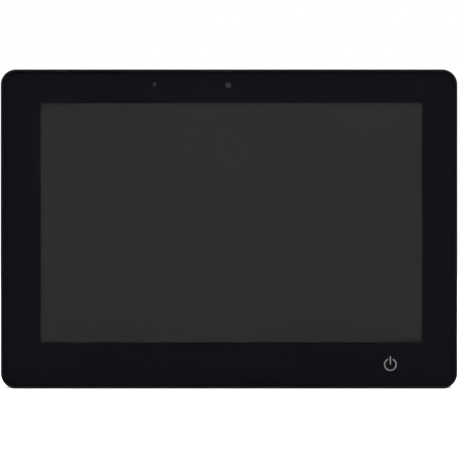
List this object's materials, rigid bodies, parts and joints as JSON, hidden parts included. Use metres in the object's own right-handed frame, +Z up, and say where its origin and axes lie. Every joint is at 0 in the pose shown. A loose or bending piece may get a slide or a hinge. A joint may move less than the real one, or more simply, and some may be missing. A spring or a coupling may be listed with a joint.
{
  "type": "smart display",
  "caption": "Flat smart home touch display: glass front with black border, camera, touch power key, side volume keys, fold-out stand and wall-plate screw pattern.",
  "frame": {"origin": "under the middle of the body, on the surface it stands on", "axes": "+X to the right as the user sees the screen, +Y from the screen to the back, +Z up"},
  "size_m": [0.2592, 0.026, 0.1812],
  "materials": {
    "cover_glass": "clear, chemically strengthened, polished",
    "black_ink": "even black print on the back of the glass",
    "touch_film": "clear film",
    "flex_amber": "amber polyimide film, satin",
    "black_tape": "matte adhesive tape",
    "frame_plastic": "fine-textured black ABS",
    "lcd_glass": "dark neutral grey when off, anti-glare",
    "diffuser_film": "milky film",
    "clear_acrylic": "clear acrylic with a printed dot pattern",
    "white_reflector": "bright white film",
    "led_strip": "white strip with yellow phosphor packages",
    "white_plastic": "white moulded polycarbonate",
    "tray_steel": "electro-galvanised sheet steel",
    "grey_foam": "closed-cell foam",
    "green_board": "green solder mask over copper tracks",
    "chassis_aluminium": "rolled sheet, satin",
    "screw_steel": "zinc-plated steel",
    "black_screw": "black-oxide steel",
    "brass": "turned, knurled",
    "tin_can": "tin-plated sheet",
    "thermal_pad": "soft silicone, matte",
    "sink_aluminium": "extruded, black anodised",
    "cell_steel": "polished stainless steel",
    "black_nylon": "glass-filled nylon",
    "socket_steel": "bright nickel plate",
    "antenna_film": "black film over copper",
    "coax_jacket": "smooth PVC jacket",
    "lens_glass": "dark coated lens",
    "sensor_plastic": "dark grey translucent plastic",
    "mic_can": "gold-tinted metal can",
    "icon_diffuser": "translucent grey-white plastic, unlit",
    "basket_plastic": "moulded ABS",
    "magnet_steel": "plated steel cup",
    "cone_paper": "treated paper and rubber surround",
    "lead_red_black": "PVC insulation",
    "cover_plastic": "fine spark-eroded texture, black ABS",
    "foot_rubber": "soft non-slip rubber",
    "label_film": "blank silver-grey polyester label",
    "bracket_steel": "stamped steel, dull zinc",
    "pin_steel": "ground steel",
    "stand_metal": "satin black powder coat on die-cast zinc alloy",
    "key_plastic": "satin black ABS",
    "switch_plastic": "black nylon",
    "plunger_plastic": "ivory acetal"
  },
  "bodies": {
    "display": {"cover_glass": "cover_glass", "border_print": "black_ink", "touch_sensor": "touch_film", "touch_flex": "flex_amber", "glass_tape": "black_tape", "front_frame": "frame_plastic", "lcd_cell": "lcd_glass", "lcd_diffuser_films": "diffuser_film", "light_guide": "clear_acrylic", "backlight_reflector": "white_reflector", "backlight_led_bar": "led_strip", "lcd_frame": "white_plastic", "lcd_tray": "tray_steel", "lcd_foam_pads": "grey_foam", "lcd_driver_board": "green_board", "display_flex": "flex_amber", "chassis_plate": "chassis_aluminium", "chassis_screws": "screw_steel", "board_standoffs": "brass", "main_board": "green_board", "board_screws": "screw_steel", "processor_shield": "tin_can", "thermal_pad": "thermal_pad", "heat_spreader": "sink_aluminium", "coin_cell": "cell_steel", "dc_jack": "black_nylon", "usb_c_socket": "socket_steel", "wifi_antennas": "antenna_film", "antenna_leads": "coax_jacket", "camera_module": "black_nylon", "camera_lens": "lens_glass", "camera_flex": "flex_amber", "sensor_board": "green_board", "light_sensor": "sensor_plastic", "microphones": "mic_can", "power_key_diffuser": "icon_diffuser", "power_key_board": "green_board", "power_key_flex": "flex_amber", "speaker_frames": "basket_plastic", "speaker_magnets": "magnet_steel", "speaker_cones": "cone_paper", "speaker_gaskets": "grey_foam", "speaker_leads": "lead_red_black", "rear_cover": "cover_plastic", "vesa_inserts": "brass", "case_screws": "black_screw", "bottom_feet": "foot_rubber", "rating_label": "label_film", "hinge_brackets": "bracket_steel", "hinge_pins": "pin_steel", "hinge_screws": "screw_steel", "side_key_board": "green_board", "side_key_switches": "switch_plastic", "side_key_flex": "flex_amber"},
    "stand": {"stand_leg": "stand_metal", "stand_foot_pad": "foot_rubber"},
    "volume_up": {"volume_up_key": "key_plastic", "volume_up_plunger": "plunger_plastic"},
    "volume_down": {"volume_down_key": "key_plastic", "volume_down_plunger": "plunger_plastic"}
  },
  "joints": [
    {"name": "stand_hinge", "type": "hinge", "parent": "display", "child": "stand", "pos_m": [0, 0.011, 0.11], "axis": [1, 0, 0], "range_deg": [0, 50]},
    {"name": "volume_up_press", "type": "slide", "parent": "display", "child": "volume_up", "axis": [-1, 0, 0], "range_m": [0, 0.0005], "stiffness_N_per_m": 600},
    {"name": "volume_down_press", "type": "slide", "parent": "display", "child": "volume_down", "axis": [-1, 0, 0], "range_m": [0, 0.0005], "stiffness_N_per_m": 600}
  ]
}
